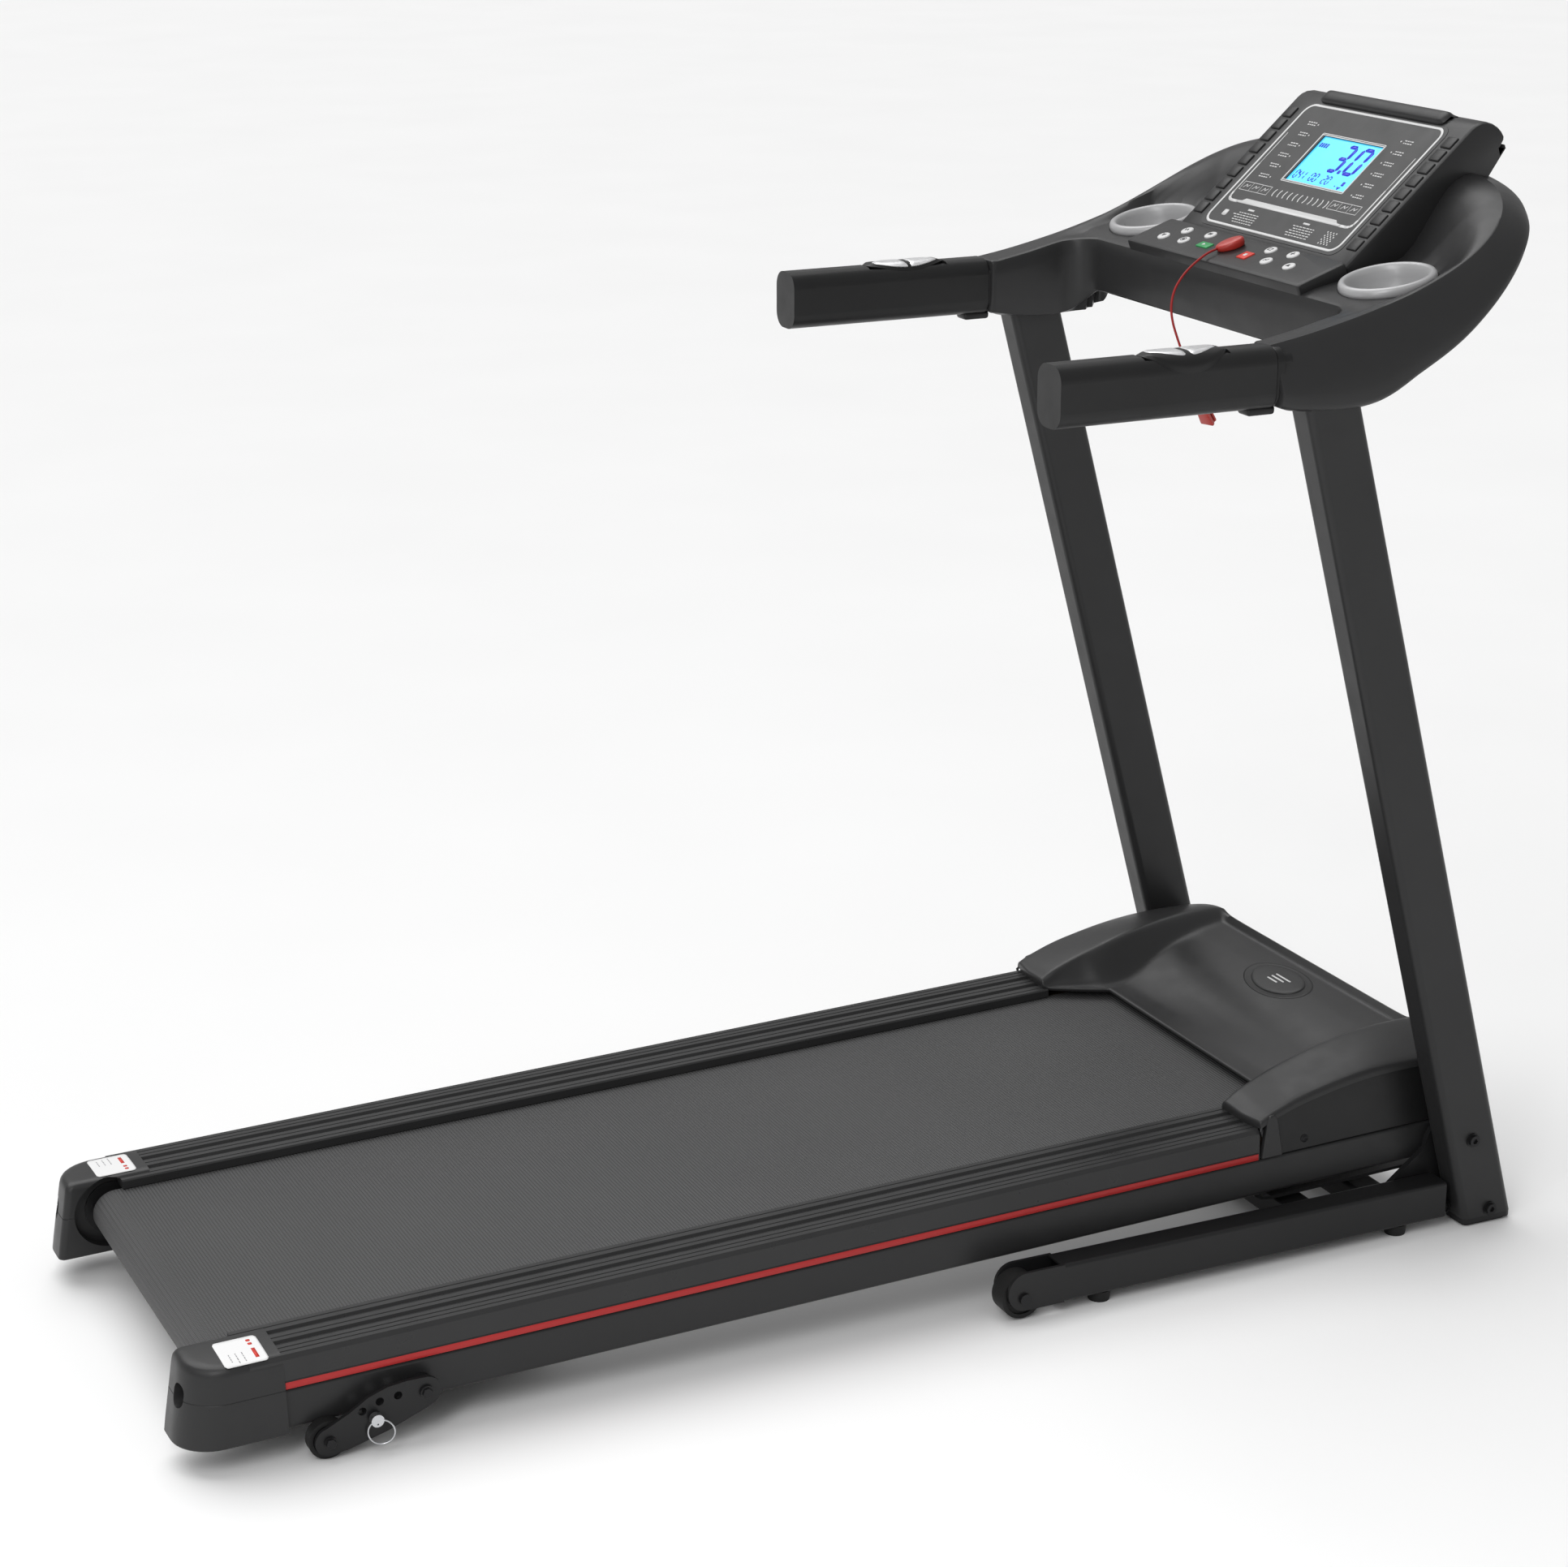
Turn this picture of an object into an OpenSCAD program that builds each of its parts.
// Folding motorised treadmill.
// Frame: +X is the walking direction (front), +Y is the walker's left, +Z is up.
// Origin: the centre of the footprint, on the floor. Millimetres.

/* [Deck] */
// Half width of the deck over the foot rails
deck_hw = 270; // [269.5:0.1:270.5]
// Angle at which the deck stands, front end up, in degrees
deck_tilt = 1.51; // [1.4:0.01:1.6]
// Half width of the running belt
belt_hw = 200; // [190:1:201]
// Diameter of the two belt rollers
roller_d = 46; // [44:0.5:46]

/* [Frame] */
// Half width over the uprights
up_hw = 323.6; // [323.4:0.1:323.8]
// Lateral thickness of an upright
up_t = 38; // [36:0.5:38]
// Depth of an upright, across its length
up_d = 63; // [60:0.5:64]
// Lean of the uprights towards the walker, in degrees
up_lean = 15.33; // [15:0.01:15.6]
// Wall of the steel tubes
wall = 2; // [1.5:0.1:2.5]

/* [Console] */
// Slope of the display face, in degrees
disp_tilt = 41.6; // [41:0.1:42]
// Slope of the key panel, in degrees
key_tilt = 19; // [18.5:0.1:19.5]
// Diameter of a round key
key_d = 15; // [13:0.5:15.5]
// Width of a hand grip
grip_w = 46; // [44:0.5:46]
// Height of a hand grip
grip_h = 63; // [60:0.5:64]

/* [Hidden] */
$fn = 48;
xo = -47;          // world X of the deck plane's own origin
hx = 680; hz = 85; // fold axis, in the world frame
hs = (hx-xo)*cos(deck_tilt)+hz*sin(deck_tilt);
hn = -(hx-xo)*sin(deck_tilt)+hz*cos(deck_tilt);
belt_top = 118; belt_t = 2;
rr = roller_d/2;
rn = belt_top-belt_t-0.3-rr;   // height of the roller axes, deck frame
rs_rear = -658; rs_front = 565; ms = 665; mn = 108;
tube_in = 237; tube_out = 267; tube_lo = 49; tube_hi = 93;
charcoal = [0.17,0.17,0.18]; black = [0.07,0.07,0.075]; silver = [0.8,0.81,0.82]; red = [0.7,0.12,0.1];

module on_deck() translate([xo,0,0]) rotate([0,-deck_tilt,0]) children();
module side(s) if (s<0) children(); else mirror([0,1,0]) children();
// rounded rectangle made of true arcs
module rrect(w,h,r) { square([w-2*r,h],center=true); square([w,h-2*r],center=true);
  for (i=[-1,1],j=[-1,1]) translate([i*(w/2-r),j*(h/2-r)]) circle(r); }
// a closed profile in X and Z, drawn out along Y from y0 to y1
module along_y(y0,y1) translate([0,y1,0]) rotate([90,0,0]) linear_extrude(height=y1-y0) children();
module ycyl(x,z,y0,y1,d) translate([x,y0,z]) rotate([-90,0,0]) cylinder(d=d,h=y1-y0);
// points of an arc
function arc(cx,cy,r,a0,a1,n) = [for(i=[0:n]) let(a=a0+(a1-a0)*i/n) [cx+r*cos(a),cy+r*sin(a)]];
// a rounded rectangular tube along X
module xtube(x0,x1,y,z,w,h,r,t) translate([x0,y,z]) rotate([90,0,90]) difference() {
  linear_extrude(height=x1-x0) rrect(w,h,r);
  translate([0,0,-1]) linear_extrude(height=x1-x0+2) rrect(w-2*t,h-2*t,max(r-t,0.6)); }

// ---------------------------------------------------------------- base
arm_out = 314; arm_in = 281; arm_lo = 12.2; arm_hi = 55.1; tw_x = 122; tw_z = 26;
module arm_plate(y0,y1) difference() {
  union() { ycyl(tw_x+2,(arm_lo+arm_hi)/2,y0,y1,arm_hi-arm_lo);
    translate([tw_x+2,y0,arm_lo]) cube([46,y1-y0,arm_hi-arm_lo]); }
  ycyl(tw_x,tw_z,y0-1,y1+1,8.1); }
module base_arm(s) color(black) side(s) {
  difference() {
    xtube(166,656,-(arm_out+arm_in)/2,(arm_lo+arm_hi)/2,arm_out-arm_in,arm_hi-arm_lo,4,wall);
    translate([220.7,-299,0]) cylinder(d=8,h=arm_lo+wall+1);
    translate([600,-299,0]) cylinder(d=8,h=arm_lo+wall+1);
  }
  arm_plate(-arm_out,-arm_out+4);
  arm_plate(-arm_in-4,-arm_in);
}
module base_arm_right() base_arm(-1);
module base_arm_left() base_arm(1);
module base_crossbars() color(black) {
  for (x=[495,590]) translate([x,273.9,28]) rotate([90,0,0]) difference() {
    linear_extrude(height=547.8) rrect(36,28,4);
    translate([0,0,-1]) linear_extrude(height=550) rrect(36-2*wall,28-2*wall,2); }
}
module base_feet() color(black) {
  for (s=[-1,1]) side(s) {
    for (x=[220.7,600]) translate([x,-299,0]) { cylinder(d1=23,d2=26,h=11.9); cylinder(d=7.8,h=14.4); }
    translate([706.5,-304.6,0]) linear_extrude(height=2.95) rrect(56,30,5);
  }
}
// side plate with the fold pivot, foot plate and the stub that the upright slides over
module pivot_brackets() color(black) for (s=[-1,1]) side(s) difference() {
  union() {
    along_y(-280.7,-274) difference() {
      union() { polygon([[470,14],[735,14],[735,60],[712,85],[648,85],[600,48],[470,42]]);
        translate([hx,hz]) circle(32); }
      translate([hx,hz]) circle(6.1); }
    translate([707.5,-up_hw+up_t/2,3]) linear_extrude(height=6) rrect(65,up_t-0.6,8);
    translate([680,-300,3]) cube([50,26,6]);
    translate([742.6-0.2742*9,-up_hw+up_t/2,9]) rotate([0,-up_lean,0]) translate([-up_d/2,0,0])
      translate([0,0,10]) linear_extrude(height=150) difference() { rrect(up_d-2*wall-0.8,up_t-2*wall-0.8,5); rrect(up_d-4*wall-1.4,up_t-4*wall-1.4,3); }
    translate([690,-300,8.9]) cube([22,8.5,6]);
    translate([664,-285.4,14]) cube([40,5.1,30]);
  }
  ycyl(679.7,105.7,-340,-285,8.2);
  ycyl(708.8,18,-340,-287,8.2);
  translate([640,-298,19]) rotate([0,90,0]) cylinder(d=8.3,h=60);
  translate([600,-400,-60]) cube([200,200,62.98]);
}
module fold_bolts() color(silver) for (s=[-1,1]) side(s) {
  ycyl(hx,hz,-282,-238.5,12);
  translate([hx,-285.3,hz]) rotate([-90,0,0]) cylinder(d=20,h=4.5,$fn=6);
}
// upright tube, leaning back, cut level at its foot
module upright(s) color(charcoal) side(s) difference() {
  translate([742.6,-up_hw+up_t/2,0]) rotate([0,-up_lean,0]) translate([-up_d/2,0,0]) difference() {
    translate([0,0,-20]) linear_extrude(height=1034) rrect(up_d,up_t,8);
    translate([0,0,-25]) linear_extrude(height=1080) rrect(up_d-2*wall,up_t-2*wall,6); }
  translate([600,-400,-60]) cube([200,200,69.2]);
  ycyl(679.7,105.7,-340,-310,8.2);
  ycyl(708.8,18,-340,-310,8.2);
  translate([640,-298,19]) rotate([0,90,0]) cylinder(d=8.3,h=60);
}
module upright_right() upright(-1);
module upright_left() upright(1);
module hexbolt(x,z,y0,len) { ycyl(x,z,y0-2,y0+len,8);
  ycyl(x,z,y0-1.6,y0-0.05,16);
  difference() { ycyl(x,z,y0-5.3,y0-1.6,12.5); translate([x,y0-5.31,z]) rotate([-90,0,0]) cylinder(d=6.6,h=2.4,$fn=6); } }
module base_bolts() color([0.12,0.12,0.12]) for (s=[-1,1]) side(s) {
  hexbolt(679.7,105.7,-up_hw,26);
  hexbolt(708.8,18,-up_hw,26);
  translate([668.4,-298,19]) rotate([0,0,-90]) hexbolt(0,0,0,18);
  ycyl(tw_x,tw_z,-arm_out-0.5,-arm_in+0.5,8);
  ycyl(tw_x,tw_z,-arm_out-3.5,-arm_out-0.05,13);
}
module wheel(x,z,y0,y1,d,bore) difference() {
  ycyl(x,z,y0,y1,d);
  ycyl(x,z,y0-1,y1+1,bore);
  for (e=[[y0-1,y0+2.5],[y1-2.5,y1+1]]) difference() { ycyl(x,z,e[0],e[1],d-9); ycyl(x,z,e[0]-1,e[1]+1,bore+7); }
}
module transport_wheel_right() color(black) wheel(tw_x,tw_z,-309.4,-285.6,48,8.1);
module transport_wheel_left() color(black) wheel(tw_x,tw_z,285.6,309.4,48,8.1);

// ---------------------------------------------------------------- console
con_hw = 327;
cup_x = 569.5; cup_y = 231; cup_tilt = 11;  // cup centres and the slope of their rims
gy = 298; gz = 981.2;  // hand grip axis
// outline of one console arm, seen from the side
arm_low = [[388,951],[396,947.5],[431,944],[470,943],[512,951],[552,972],[598,999],[639,1031],[678,1066],[709,1092],[735,1110],[753,1126]];
arm_top = [[753,1144],[738,1148.5],[722,1147],[711,1142],[697,1132],[677,1118],[651,1101],[624,1085],[594,1070],[562,1057],[525,1045.5],[489,1036.5],[453,1028],[417,1021],[388,1016]];
floor_line = [[501,1032.5],[569.5,1048],[625,1059],[660,1078],[700,1109],[742,1140]];
function se(x0,a,b,x) = x<=x0 ? b : b*pow(max(0,1-pow((x-x0)/a,3.4)),1/3.4);
function plan(x0,a,b,xs) = concat([[xs,-b]],[for(i=[0:20]) let(x=x0+a*sin(i*4.5)) [x,-se(x0,a,b,x)]],[for(i=[20:-1:0]) let(x=x0+a*sin(i*4.5)) [x,se(x0,a,b,x)]],[[xs,b]]);
module console_tray() color(charcoal) difference() {
  intersection() {
    along_y(-con_hw,con_hw) polygon(concat(arm_low,arm_top));
    translate([0,0,900]) linear_extrude(height=300) polygon(plan(548,205,con_hw,380));
  }
  // bowl between the arms, open at the top
  intersection() {
    along_y(-330,330) polygon(concat([[300,900],[462,988]],floor_line,[[760,1300],[300,1300]]));
    translate([0,0,800]) linear_extrude(height=500) polygon(plan(548,183,con_hw-20,490));
    translate([490,-400,800]) cube([300,800,600]);
  }
  // the display housing stands here
  along_y(-157.3,157.3) polygon([[560,1045.8],[569.5,1048],[625,1059],[660,1078],[700,1109],[742,1140],[770,1140],[770,1300],[500,1300]]);
  // the middle stands higher than the arms
  along_y(-262,262) polygon([[400,900],[400,973],[502,973],[540,977],[560,981.5],[575,985],[575,900]]);
  // gap for the walker, between the arms, with rounded inner corners
  translate([0,0,900]) linear_extrude(height=200) difference() {
    translate([300,-271]) square([202,542]);
    for (j=[-1,1]) translate([502-30,j*(271-30)]) mirror([0,j<0?1:0,0]) difference() { square([31,31]); circle(30); }
  }
  // hollow underside, closed by the cover
  intersection() {
    along_y(-265,265) polygon([[505.5,925],[505.5,1029],[569.5,1043.5],[625,1054.5],[660,1073],[700,1104],[738,1132],[738,1050],[700,1000],[640,950]]);
    translate([0,0,900]) linear_extrude(height=300) polygon(plan(548,178,265,380));
  }
  // pockets for the uprights and the handlebars
  for (s=[-1,1]) side(s) {
    translate([742.6,-up_hw+up_t/2,0]) rotate([0,-up_lean,0]) translate([-up_d-0.3,-up_t/2-0.3,900]) cube([up_d+0.6,up_t+0.6,114.5]);
    translate([380,-gy-18.3,gz-25.3]) cube([40,36.6,50.6]);
    translate([cup_x,-cup_y,1000]) cylinder(d=84.6,h=90);
    translate([cup_x,-cup_y,1053]) rotate([0,-cup_tilt,0]) translate([0,0,-4.8]) cylinder(d=104.6,h=60);
  }
}
module console_cover() color(black) difference() {
  intersection() {
    along_y(-264.5,264.5) difference() {
      polygon([[505.8,978.5],[540,982.3],[560,987],[578,993],[603,1009],[646,1043],[690,1082],[720,1105],[738,1118],[738,1113],[720,1100],[690,1077],[646,1038],[603,1004],[578,988],[560,982],[540,977.3],[505.8,973.5]]);
    }
    translate([0,0,900]) linear_extrude(height=300) polygon(plan(548,177.7,264.5,380));
  }
}
module cup(s) color(silver) side(s) translate([cup_x,-cup_y,0]) difference() {
  union() { translate([0,0,1017]) cylinder(d=84,h=45);
    translate([0,0,1053]) rotate([0,-cup_tilt,0]) translate([0,0,-4.5]) cylinder(d=103,h=9); }
  translate([0,0,1019.2]) cylinder(d=78,h=80);
  translate([0,0,1053]) rotate([0,-cup_tilt,0]) translate([-60,-60,4.4]) cube([120,120,40]);
}
module cup_holder_right() cup(-1);
module cup_holder_left() cup(1);

module on_panel() translate([564,0,1059]) rotate([0,-disp_tilt,0]) children();
module display_housing() color(charcoal) difference() {
  union() {
    along_y(-157,157) polygon([[560.5,1030],[562,1057.5],[712,1190.6],[722,1197],[738,1196],[750,1190],[757,1180],[757,1170],[735,1130],[700,1080],[675,1040]]);
    on_panel() { translate([196,-112,-22]) cube([18,224,23]);
      for (s=[-1,1],i=[0:8]) translate([14+i*19.6,s*148-8,-1]) cube([16.5,16,3]); }
  }
  // overlay recess, LCD opening and the inner space
  on_panel() { translate([100.5,0,-1.2]) linear_extrude(height=10) rrect(190.4,272.4,14.2);
    translate([85,-60,-20]) cube([71,118,25]); }
  along_y(-153.5,153.5) polygon([[585,1053],[707,1161],[722,1180],[738,1186],[747,1178],[742,1160],[724,1130],[700,1090],[690,1040],[585,1020]]);
  below_floor();
}
module display_overlay() color(black) on_panel() difference() {
  translate([100.5,0,-1]) linear_extrude(height=1.4) rrect(190,272,14);
  translate([87,-58,-3]) cube([67,114,8]);
}
module lcd_window() color([0.45,0.8,0.95]) on_panel() translate([85.2,-59.8,-3.2]) cube([70.6,117.6,2]);

// everything below the tray's floor
module below_floor() along_y(-400,400) polygon(concat([[400,900],[400,988],[462,988]],floor_line,[[800,1140],[800,900]]));
// key positions on the key panel: along the slope, then across
key_at = [[16,129],[37,112],[18,90],[40,68],[41,-51],[20,-73],[43,-91],[21,-115]];
module on_keys() translate([505.7,0,1045.3]) rotate([0,-key_tilt,0]) children();
module below_floor_keys() rotate([0,key_tilt,0]) translate([-505.7,0,-1045.3]) below_floor();
module key_panel() color(charcoal) on_keys() difference() {
  translate([0,0,-26]) linear_extrude(height=26) polygon([[-7,-168],[-4,-171],[52,-173],[54,-171],[54,171],[52,173],[-4,171],[-7,168]]);
  for (k=key_at) translate([k[0],k[1],-20]) cylinder(d=key_d+0.7,h=40);
  translate([13.2,36.7,-20]) cube([11.6,22.6,40]);
  translate([12.2,-40.8,-20]) cube([15.6,16.6,40]);
  translate([27,7,-2.5]) cylinder(d=17,h=5);
  // open underside
  translate([-3,-166,-32]) cube([53,332,27]);
  below_floor_keys();
  rotate([0,key_tilt,0]) translate([560.3-505.7,-200,900-1045.3]) cube([100,400,300]);
}
module round_key(i) color("white") on_keys() translate([key_at[i][0],key_at[i][1],-7]) cylinder(d=key_d,h=8.6);
module key_1() round_key(0);
module key_2() round_key(1);
module key_3() round_key(2);
module key_4() round_key(3);
module key_5() round_key(4);
module key_6() round_key(5);
module key_7() round_key(6);
module key_8() round_key(7);
module start_key() color([0.1,0.5,0.25]) on_keys() translate([13.5,37,-7]) cube([11,22,8.4]);
module stop_key() color([0.85,0.2,0.15]) on_keys() translate([12.5,-40.5,-7]) cube([15,16,8.4]);
module safety_key() color(red) on_keys() translate([27,7,0]) union() {
  translate([0,0,0.2]) linear_extrude(height=9) union() { translate([3,-4]) circle(12); translate([-3,4]) circle(12); }
  translate([0,0,-2.2]) cylinder(d=16,h=3);
}
// safety cord: from the key, out over the console's edge, down to the clip
cord_r = 1.3;
cp = [[515.5,11,1053.6],[509.8,11,1051.9],[504,10.8,1049.8],[496,10.3,1045.7],[485.2,9,1039.2],[474.8,7,1031.8],[466,4.5,1024],[458.6,1.6,1015.6],[452.6,-3,1006],[448.4,-8.6,995],[446.8,-15.5,982.5],[447.8,-23,968.5],[450.6,-31.5,951],[454,-41.5,930],[457.9,-51.3,906.2]];
// tube skinned along a smooth curve through the points of the route
function cr(a,b,c,d,t) = 0.5*((2*b)+(c-a)*t+(2*a-5*b+4*c-d)*t*t+(3*b-a-3*c+d)*t*t*t);
cn = len(cp);
cpath = concat([for(i=[0:cn-2],k=[0:2]) cr(cp[max(i-1,0)],cp[i],cp[i+1],cp[min(i+2,cn-1)],k/3)],[cp[cn-1]]);
function unit(v) = v/norm(v);
function tang(i) = unit(cpath[min(i+1,len(cpath)-1)]-cpath[max(i-1,0)]);
cs = 8;
cring = [for(i=[0:len(cpath)-1]) let(t=tang(i),u=unit(cross(t,[0,1,0])),v=cross(u,t)) for(k=[0:cs-1]) cpath[i]+cord_r*(u*cos(360*k/cs)+v*sin(360*k/cs))];
module safety_cord() color(red) polyhedron(points=cring,faces=concat(
  [[for(k=[0:cs-1]) k]], [[for(k=[cs-1:-1:0]) (len(cpath)-1)*cs+k]],
  [for(i=[0:len(cpath)-2],k=[0:cs-1]) [i*cs+k,(i+1)*cs+k,(i+1)*cs+(k+1)%cs]],
  [for(i=[0:len(cpath)-2],k=[0:cs-1]) [i*cs+k,(i+1)*cs+(k+1)%cs,i*cs+(k+1)%cs]]),convexity=6);
module on_clip() translate([467.2,-47.9,893.3]) rotate([0,-34,20]) children();
module clip_body() color(red) on_clip() difference() {
  union() { translate([-3,-7,-22]) cube([4,14,34]); translate([1,-7,8]) cube([7,2.5,4]); translate([-3,-3,10]) cube([4,6,5]);
    translate([1,-7,-5]) cube([4.5,2.2,6]); translate([1,4.8,-5]) cube([4.5,2.2,6]); }
  translate([3.6,-10,-2]) rotate([-90,0,0]) cylinder(d=2.1,h=20);
}
module clip_lever() color(red) on_clip() { difference() { translate([4.4,-4.4,-22]) cube([2.6,8.8,28]); }
  translate([3.6,-6.9,-2]) rotate([-90,0,0]) cylinder(d=2,h=13.8);
  translate([1.4,-4.4,-22]) cube([5,8.8,2.2]); }

// ---------------------------------------------------------------- handles
module handlebars() color(black) for (s=[-1,1]) side(s) xtube(150,401,-gy,gz,36,50,10,wall);
module grips() color(black) for (s=[-1,1]) side(s) difference() {
  translate([134,-gy,gz]) rotate([90,0,90]) linear_extrude(height=246) rrect(grip_w,grip_h,17);
  translate([150,-gy,gz]) rotate([90,0,90]) linear_extrude(height=240) rrect(36.1,50.1,10.05);
  translate([232,-gy-grip_w/2-1,gz+grip_h/2-3]) cube([98,grip_w+2,10]);
}
module pulse_housings() color(black) for (s=[-1,1]) side(s) difference() {
  translate([281,-gy,gz]) rotate([90,0,90]) translate([0,0,-48.9]) linear_extrude(height=97.8) intersection() { rrect(grip_w,grip_h+6,17); translate([-40,grip_h/2-2.95]) square([80,20]); }
  for (x=[236,283.5]) translate([x,-gy-15,gz+grip_h/2+1.5]) cube([42.5,30,10]);
}
module pulse_plates() color(silver) for (s=[-1,1]) side(s) for (x=[236.3,283.8])
  intersection() { translate([x,-gy-14.7,gz+grip_h/2+1.6]) cube([41.9,29.4,1.9]); translate([230,-gy,gz]) rotate([90,0,90]) linear_extrude(height=110) rrect(grip_w,grip_h+7,17); }

// ---------------------------------------------------------------- deck
module frame_tube(s) color(charcoal) on_deck() side(s) difference() {
  xtube(-692,759,-(tube_in+tube_out)/2,(tube_lo+tube_hi)/2,tube_out-tube_in,tube_hi-tube_lo,5,wall);
  ycyl(hs,hn,-290,-230,12.1);
  ycyl(fp[0],fp[1],-290,-236,10.1);
  for (r=[rs_rear,rs_front]) ycyl(r,rn,-tube_in-3,-tube_in+1,15.1);
}
module frame_tube_right() frame_tube(-1);
module frame_tube_left() frame_tube(1);
module crossmembers() color(charcoal) on_deck() for (x=[-560,-60,440]) translate([x,tube_in,57]) rotate([90,0,0]) difference() {
  linear_extrude(height=2*tube_in) rrect(40,14,3);
  translate([0,0,-1]) linear_extrude(height=2*tube_in+2) rrect(40-2*wall,14-2*wall,1.2); }
module running_board() color([0.3,0.2,0.12]) on_deck() translate([-610,-262,98]) cube([1130,524,17.8]);
module board_cushions() color(black) on_deck() for (s=[-1,1],x=[-560,-200,160,480]) side(s) translate([x,-264,93]) cube([40,24,5]);
module loop2(x0,x1,z0,z1,r0,r1) { // outline round two circles, tangent lines worked out
  d = norm([x1-x0,z1-z0]); a = atan2(z1-z0,x1-x0); b = acos((r0-r1)/d);
  polygon(concat(arc(x0,z0,r0,a+b,a+360-b,28),arc(x1,z1,r1,a-b,a+b,28))); }
module running_belt() color([0.2,0.2,0.2]) on_deck() along_y(-belt_hw,belt_hw) difference() {
  union() { translate([rs_rear,rn]) circle(rr+0.3+belt_t); translate([rs_front,rn]) circle(rr+0.3+belt_t); translate([rs_rear,rn-rr-0.3-belt_t]) square([rs_front-rs_rear,2*(rr+0.3+belt_t)]); }
  translate([rs_rear,rn]) circle(rr+0.3); translate([rs_front,rn]) circle(rr+0.3);
  translate([rs_rear,rn-rr-0.3]) square([rs_front-rs_rear,2*(rr+0.3)]);
}
// foot rail: ridged tread on top, skirt outside
rail_prof = [[-195,119],[-195,127.5],[-196.5,129],[-202,129],[-202.6,128],[-203.4,128],[-204,129],[-211,129],[-212.5,126.2],[-219,126.2],[-220.5,129],[-227,129],[-227.6,128],[-228.4,128],[-229,129],[-235,129],[-236.5,126.2],[-243,126.2],[-244.5,129],[-250,129],[-250.6,128],[-251.4,128],[-252,129],[-258,129],[-258.6,128],[-259.4,128],[-260,129],[-266,129],[-deck_hw,125],[-deck_hw,94.5],[-deck_hw+2,93.5],[-deck_hw+2,117],[-deck_hw+4,119]];
module foot_rail(s) color(charcoal) on_deck() side(s) translate([-650,0,0]) rotate([90,0,90]) linear_extrude(height=1136) polygon(rail_prof);
module foot_rail_right() foot_rail(-1);
module foot_rail_left() foot_rail(1);
module cap_outer(g) hull() {
  translate([-717+g,-deck_hw-1.5+9,47+g]) cylinder(r=9-g,h=4,$fn=32);
  translate([-703+g,-deck_hw-1.5+9,126-g]) cylinder(r=9-g,h=1,$fn=32);
  translate([-617,-deck_hw-1.5+g,46+g]) cube([0.01,66-2*g,84-2*g]);
  translate([-700+g,-deck_hw+1.5+g,131-g]) cube([20,58-2*g,0.01]);
  translate([-711+g,-218,47+g]) cylinder(r=9-g,h=1,$fn=32);
  translate([-704+g,-218,126-g]) cylinder(r=9-g,h=1,$fn=32);
}
module end_cap(s) color(charcoal) on_deck() side(s) difference() {
  cap_outer(0);
  translate([-697,-deck_hw+0.8,48.5]) cube([90,60.7,44.7]);
  translate([-653,-deck_hw-0.3,93]) cube([50,70,36.3]);
  translate([-615,-deck_hw-5,93]) cube([10,90,60]);
  ycyl(rs_rear,rn,-209,-200,60);
  ycyl(rs_rear,rn,-240,-200,30);
  translate([-740,-243,85]) rotate([0,90,0]) cylinder(d=17,h=60);
}
module end_cap_right() end_cap(-1);
module end_cap_left() end_cap(1);
module roller(x) { ycyl(x,rn,-203,203,roller_d); ycyl(x,rn,-238.6,238.6,15); }
module front_roller() color(silver) on_deck() { roller(rs_front); difference() { ycyl(rs_front,rn,206,226,71); ycyl(rs_front,rn,212,224,74); } ycyl(rs_front,rn,206,226,68); }
module rear_roller() color(silver) on_deck() roller(rs_rear);
module motor() color([0.25,0.25,0.26]) on_deck() difference() {
  union() { ycyl(ms,mn,-10,190,84); ycyl(ms,mn,190,196,50);
    translate([ms-35,0,51]) cube([70,170,16]); translate([ms-44,-40,49]) cube([88,230,4]); }
  ycyl(ms,mn,150,200,12.1);
}
module motor_pulley() color(silver) on_deck() { ycyl(ms,mn,160,230,12); difference() { ycyl(ms,mn,210,226,29); ycyl(ms,mn,212,224,32); } ycyl(ms,mn,210,226,26); }
module drive_belt() color(black) on_deck() along_y(213,223) difference() {
  loop2(rs_front,ms,rn,mn,37.8,16.8);
  loop2(rs_front,ms,rn,mn,34.4,13.4);
}
// motor cover: a dome with a scoop towards the belt and raised wings over the rails
wing_out = concat([[474,130.2],[474,137],[480,141]],[for(i=[1:12]) let(t=i/12) [480+t*160,141+47*sin(t*90)]],[[700,190],[728,189],[734,186],[740,150],[738,96],[488,94.2],[488,130.2]]);
wing_in = concat([[491,131]],[for(i=[1:12]) let(t=i/12) [490+t*150,136+49*sin(t*90)]],[[700,187],[727,186],[731,184],[737,150],[735,90],[491,90]]);
mid_out = concat([[546.7,124],[546.7,129]],[for(i=[1:14]) let(t=i/14) [546.7+t*120,129+56*(t*t*(3-2*t))]],[[700,189],[728,189],[734,186],[740,150],[738,96],[700,94.2]]);
mid_in = concat([[556,124],[556,130]],[for(i=[1:14]) let(t=i/14) [556+t*112,128.5+53.5*(t*t*(3-2*t))]],[[700,186],[727,186],[731,184],[737,150],[735,90],[556,90]]);
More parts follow.
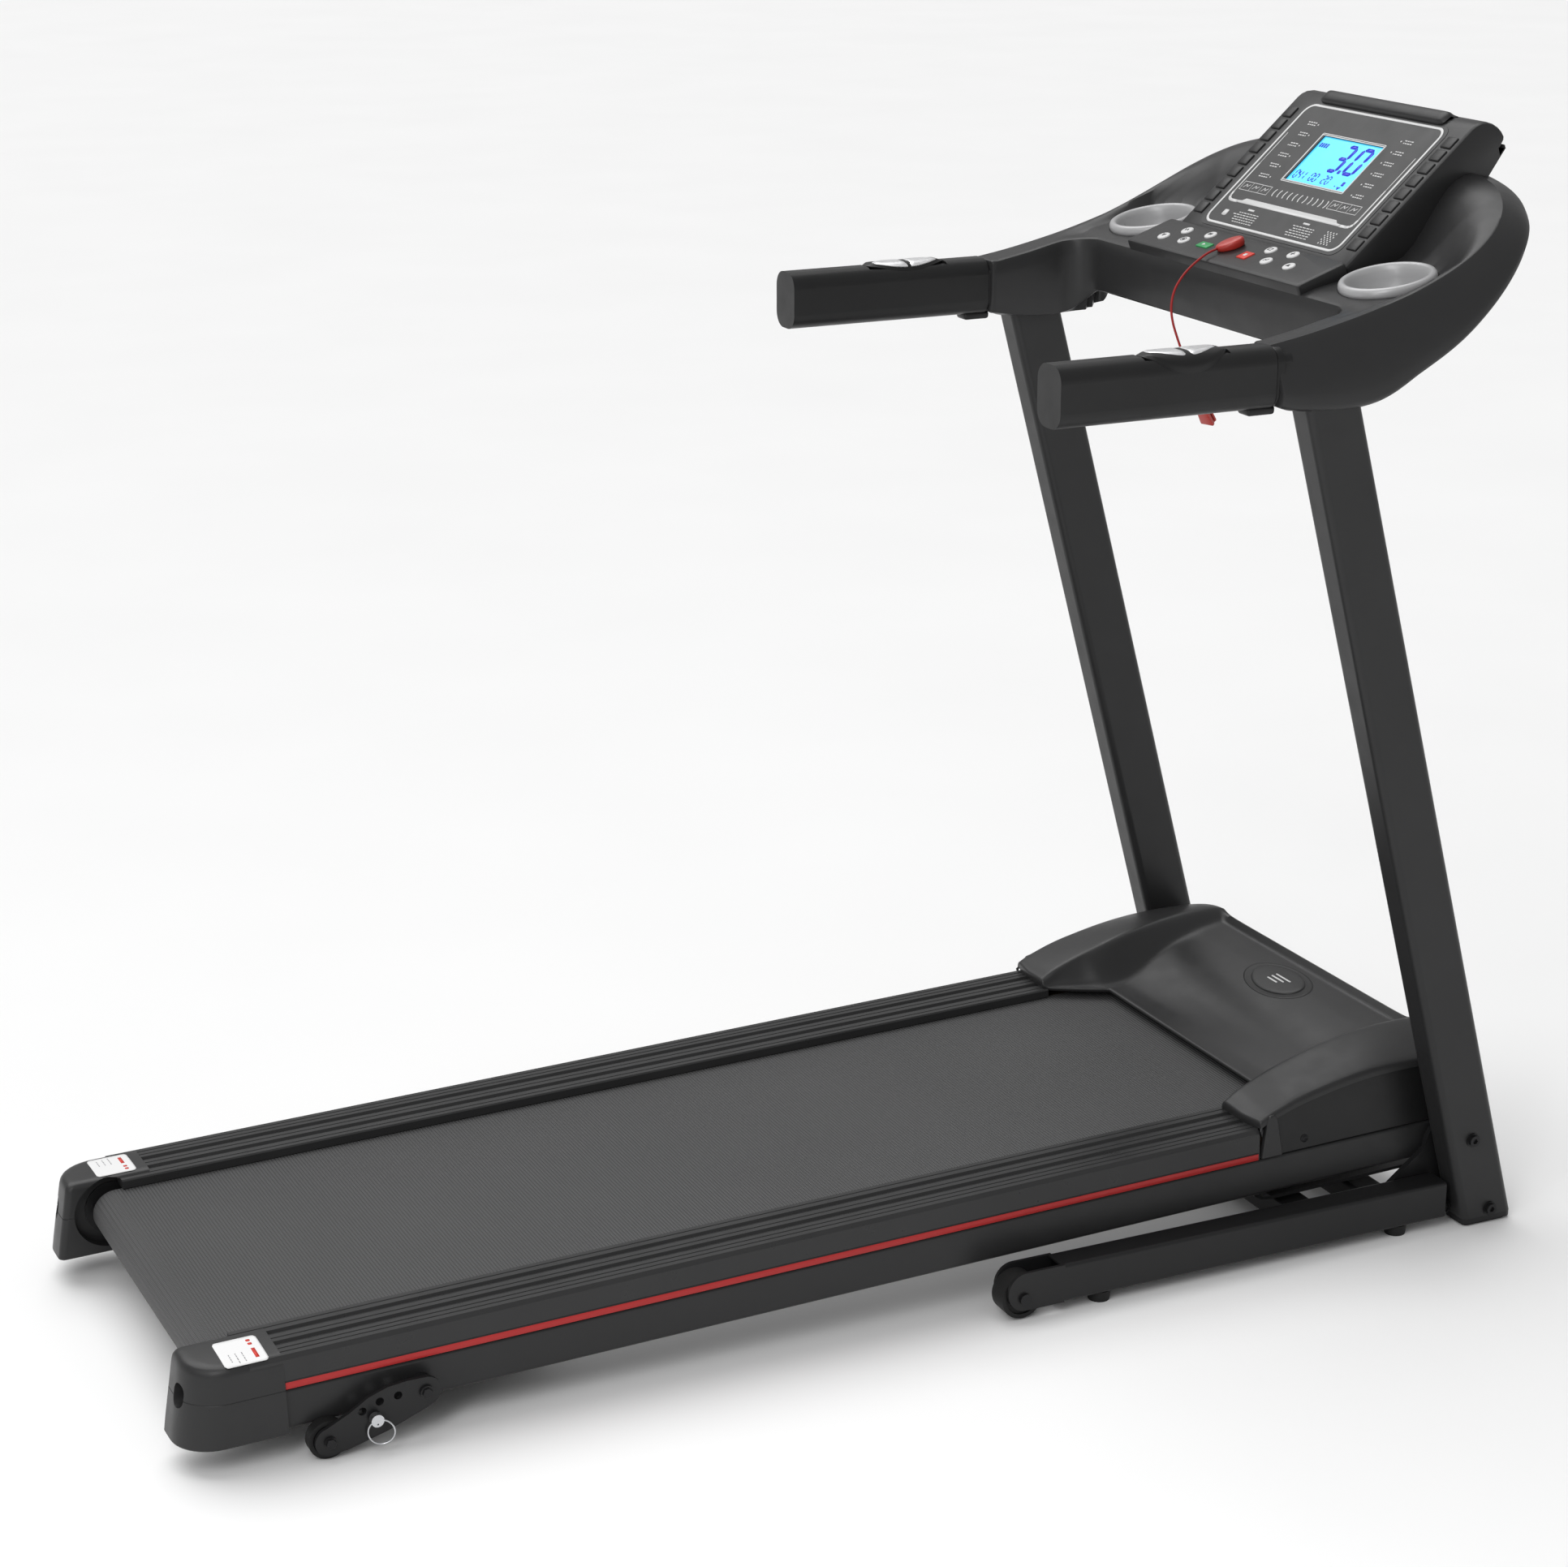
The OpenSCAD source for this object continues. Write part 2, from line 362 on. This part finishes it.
module motor_cover() color(charcoal) on_deck() difference() {
  union() {
    for (s=[-1,1]) side(s) along_y(-deck_hw-0.8,-199) polygon(wing_out);
    along_y(-199.1,199.1) polygon(mid_out);
  }
  for (s=[-1,1]) side(s) along_y(-deck_hw+2.2,-203) polygon(wing_in);
  along_y(-203.1,203.1) polygon(mid_in);
  for (s=[-1,1]) side(s) { translate([480,-deck_hw+2.2,90]) cube([255,80,40]);
    translate([480,-deck_hw-0.5,90]) cube([6.6,80,40]);
    ycyl(544.5,106.6,-deck_hw-2,-deck_hw+3,4.2); }
  along_y(-203,203) polygon([[470,90],[545,90],[545,128.9],[470,128.9]]);
  along_y(-260,260) polygon([[560,80],[736,80],[735,100],[560,100]]);
}
module belly_pan() color(charcoal) on_deck() along_y(-258,258) polygon([[486,48.8],[489,44],[497,39],[510,36.5],[740,36.5],[744,39],[745,48.8],[741,48.8],[741,40],[510,40],[499,42],[492,48.8]]);

// ---------------------------------------------------------------- rear feet
fp = [-480.8,65.1]; fw = [-581.0,35.4]; pin_at = [-535.2,51.7];
foot_holes = [[-509.8,68.0],[-528.7,66.2],[-546.8,59.9]];
foot_out = concat(arc(fw[0],fw[1],15,100,285,14),[[-560,23.5],[-520,33.5],[-478,49]],arc(fp[0],fp[1],15.5,-60,85,8),[[-500,81.2],[-520,79.5],[-540,73],[-560,61]]);
module foot_bracket(s) color(black) on_deck() side(s) difference() {
  union() { along_y(-285.5,-281) polygon(foot_out);
    ycyl(fp[0],fp[1],-282,-267.4,24);
    ycyl(pin_at[0],pin_at[1],-282,-271,16);
    ycyl(fp[0],fp[1],-288.5,-285,14);
    ycyl(fp[0],fp[1],-269,-239.5,10);
    ycyl(fw[0],fw[1],-288,-267.8,8);
    ycyl(fw[0],fw[1],-288.2,-285,12); }
  for (h=foot_holes) ycyl(h[0],h[1],-290,-270,8.5);
  ycyl(pin_at[0],pin_at[1],-290,-262,8.1);
}
module foot_bracket_right() foot_bracket(-1);
module foot_bracket_left() foot_bracket(1);
module foot_wheel_right() color(black) on_deck() wheel(fw[0],fw[1],-280.4,-268.2,40,8.1);
module foot_wheel_left() color(black) on_deck() wheel(fw[0],fw[1],268.2,280.4,40,8.1);
module lock_pin(s) color(silver) on_deck() side(s) { ycyl(pin_at[0],pin_at[1],-294,-270,8);
  difference() { ycyl(pin_at[0],pin_at[1],-296.5,-288.5,13); ycyl(pin_at[0],pin_at[1]-3.6,-300,-280,1.8); }
  translate([pin_at[0]+4,-292.5,pin_at[1]-14.5]) rotate([90,0,-18]) rotate_extrude() translate([13,0]) circle(0.9,$fn=16);
}
module lock_pin_right() lock_pin(-1);
module lock_pin_left() lock_pin(1);

// ---- drawing
base_arm_right();
base_arm_left();
base_crossbars();
base_feet();
pivot_brackets();
fold_bolts();
upright_right();
upright_left();
base_bolts();
transport_wheel_right();
transport_wheel_left();
console_tray();
console_cover();
cup_holder_right();
cup_holder_left();
display_housing();
display_overlay();
lcd_window();
key_panel();
handlebars();
grips();
pulse_housings();
pulse_plates();
key_1();
key_2();
key_3();
key_4();
key_5();
key_6();
key_7();
key_8();
start_key();
stop_key();
safety_key();
safety_cord();
clip_body();
clip_lever();
frame_tube_right();
frame_tube_left();
crossmembers();
running_board();
board_cushions();
running_belt();
foot_rail_right();
foot_rail_left();
end_cap_right();
end_cap_left();
front_roller();
rear_roller();
motor();
motor_pulley();
drive_belt();
motor_cover();
belly_pan();
foot_bracket_right();
foot_bracket_left();
foot_wheel_right();
foot_wheel_left();
lock_pin_right();
lock_pin_left();
